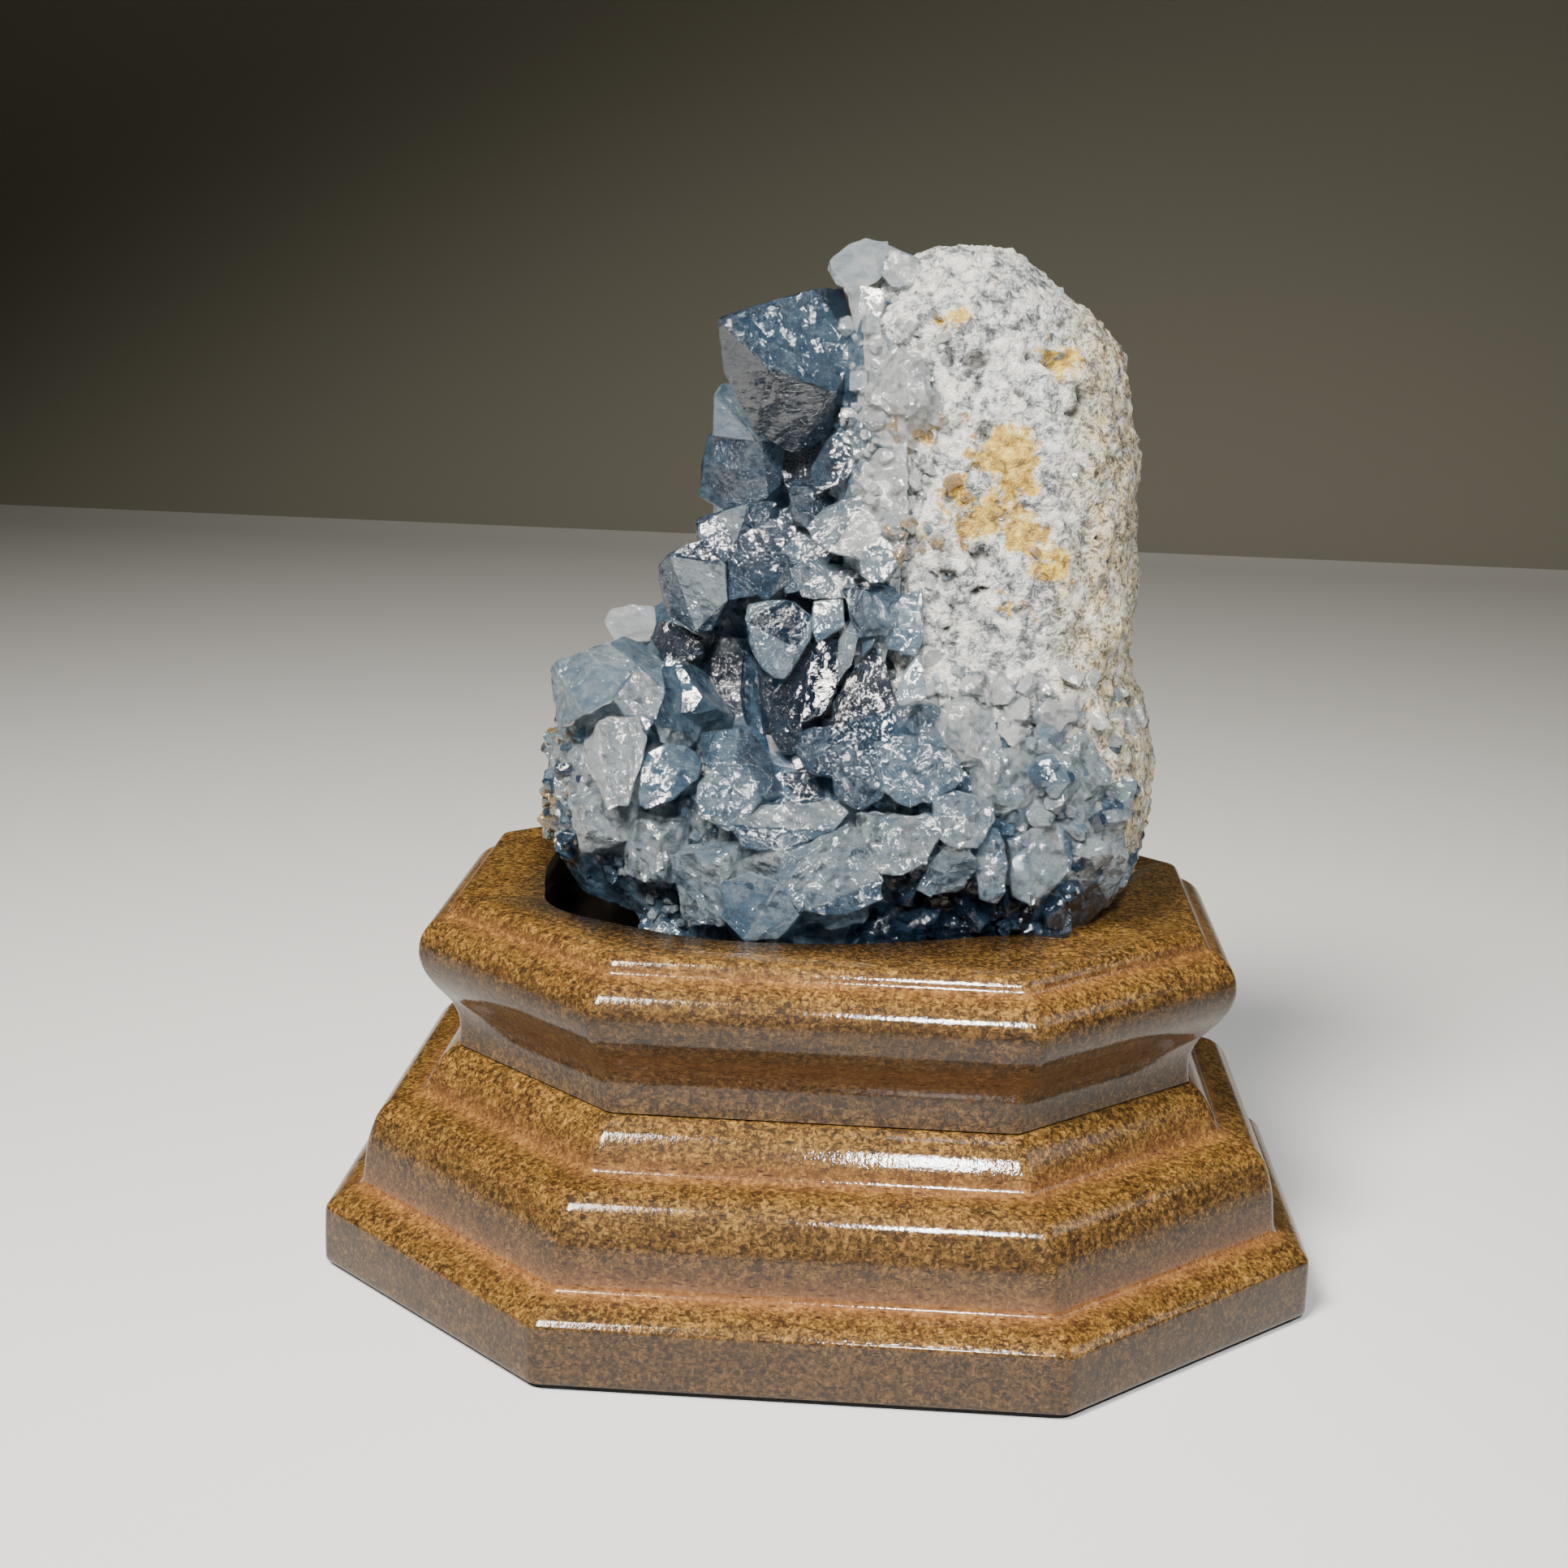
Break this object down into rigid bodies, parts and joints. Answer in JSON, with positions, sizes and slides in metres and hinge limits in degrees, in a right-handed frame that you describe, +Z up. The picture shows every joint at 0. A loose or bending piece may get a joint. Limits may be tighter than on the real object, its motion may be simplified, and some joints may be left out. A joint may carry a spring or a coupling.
{
  "type": "celestite geode",
  "caption": "Half-open celestite geode with a hollow of pale blue crystals in a rounded limestone rind, resting in the recess of an octagonal moulded stand.",
  "frame": {"origin": "on the floor under the middle of the stand's outline", "axes": "+Z up, -Y to the front, where the hollow and the crystal face look, +X to the side of the tall rind"},
  "size_m": [0.15, 0.135, 0.1581],
  "materials": {
    "felt": "matt felt",
    "lacquered_fibreboard": "amber gloss lacquer over fibreboard",
    "limestone_rind": "rough, pitted, with ochre stains",
    "celestite": "translucent crystal faces, partly frosted"
  },
  "bodies": {
    "root": {"felt_pad": "felt", "stand_base": "lacquered_fibreboard", "stand_top": "lacquered_fibreboard", "matrix": "limestone_rind", "crystal_crust": "celestite"}
  },
  "joints": []
}
